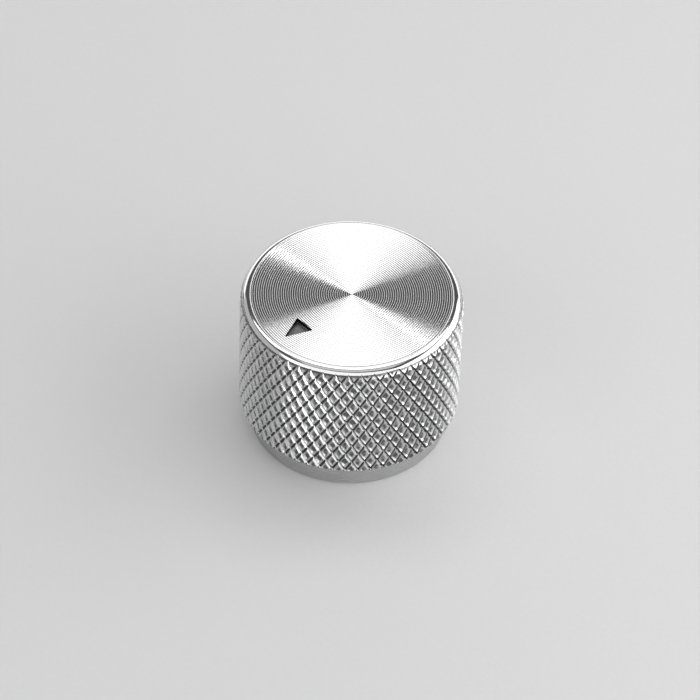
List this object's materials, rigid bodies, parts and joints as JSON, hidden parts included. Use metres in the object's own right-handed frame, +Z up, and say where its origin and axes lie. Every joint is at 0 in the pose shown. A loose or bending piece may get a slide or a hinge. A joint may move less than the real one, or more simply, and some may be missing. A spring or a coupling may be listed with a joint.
{
  "type": "control knob",
  "caption": "Round turned knob with a diamond-knurled grip, a sunk triangle pointer in its ring-turned face, a blind shaft bore and a side clamping screw.",
  "frame": {"origin": "centre of the flat foot ring at the base, on the shaft axis", "axes": "+Z up along the shaft axis to the turned face, -Y towards the pointer, +Y towards the clamping screw"},
  "size_m": [0.025, 0.025, 0.019],
  "materials": {
    "turned_aluminium": "fine turned face, knurled grip, satin neck",
    "blackened_steel": "blackened"
  },
  "bodies": {
    "root": {"knob_body": "turned_aluminium", "set_screw": "blackened_steel"}
  },
  "joints": []
}
